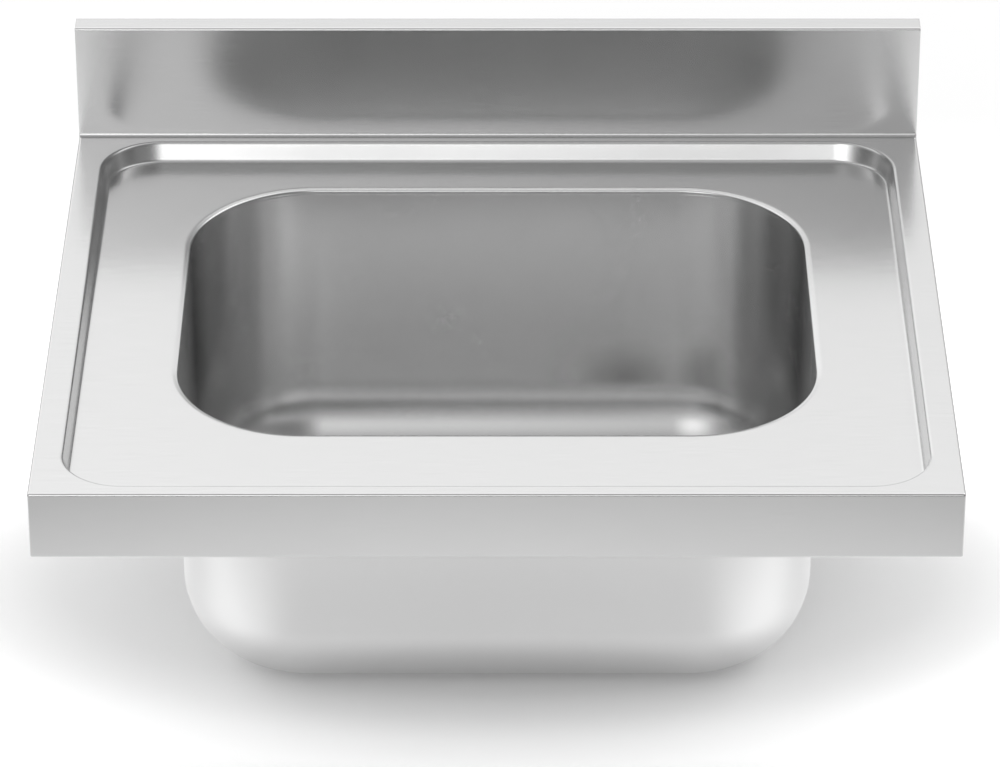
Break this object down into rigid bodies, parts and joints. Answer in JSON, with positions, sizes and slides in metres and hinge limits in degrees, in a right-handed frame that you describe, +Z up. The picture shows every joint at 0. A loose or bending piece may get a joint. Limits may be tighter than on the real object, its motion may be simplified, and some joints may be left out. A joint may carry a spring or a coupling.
{
  "type": "sink top",
  "caption": "Stainless steel catering sink top with a sunken drainer, rear upstand, deep bowl and basket waste, for fixing to a stand or base unit.",
  "frame": {"origin": "middle of the four fixing holes, on the underside of the corner brackets", "axes": "+X to the right seen from the front, +Y to the back and its upstand, +Z up"},
  "size_m": [0.7, 0.6, 0.43],
  "materials": {
    "satin_steel": "fine satin stainless sheet",
    "drawn_steel": "fine matt deep-drawn stainless",
    "folded_steel": "mill-finish stainless",
    "polished_steel": "polished stainless",
    "deadening_pad": "matt pressed bitumen",
    "bonding_brass": "turned",
    "seal_rubber": "matt moulded",
    "slip_plastic": "matt moulded",
    "nut_plastic": "matt moulded",
    "knob_plastic": "gloss moulded"
  },
  "bodies": {
    "sink_top": {"worktop_sheet": "satin_steel", "upstand_end_cap_left": "satin_steel", "upstand_end_cap_right": "satin_steel", "sink_bowl": "drawn_steel", "rear_rail": "folded_steel", "front_stiffener": "folded_steel", "rear_stiffener": "folded_steel", "left_stiffener": "folded_steel", "right_stiffener": "folded_steel", "front_left_bracket": "folded_steel", "front_right_bracket": "folded_steel", "rear_left_bracket": "folded_steel", "rear_right_bracket": "folded_steel", "bowl_base_pad": "deadening_pad", "left_wall_pad": "deadening_pad", "right_wall_pad": "deadening_pad", "bonding_stud": "polished_steel", "bonding_washer": "bonding_brass", "bonding_nut": "bonding_brass", "strainer_body": "polished_steel", "flange_seal": "seal_rubber", "under_seal": "seal_rubber", "slip_ring": "slip_plastic", "lock_nut": "nut_plastic"},
    "basket": {"basket": "polished_steel"},
    "stopper": {"basket_stem": "polished_steel", "basket_knob": "knob_plastic", "stopper_seal": "seal_rubber", "stem_clip": "polished_steel"}
  },
  "joints": [
    {"name": "basket_lift", "type": "slide", "parent": "sink_top", "child": "basket", "axis": [0, 0, 1], "range_m": [0, 0.33]},
    {"name": "stopper_lift", "type": "slide", "parent": "basket", "child": "stopper", "axis": [0, 0, 1], "range_m": [0, 0.008]}
  ]
}
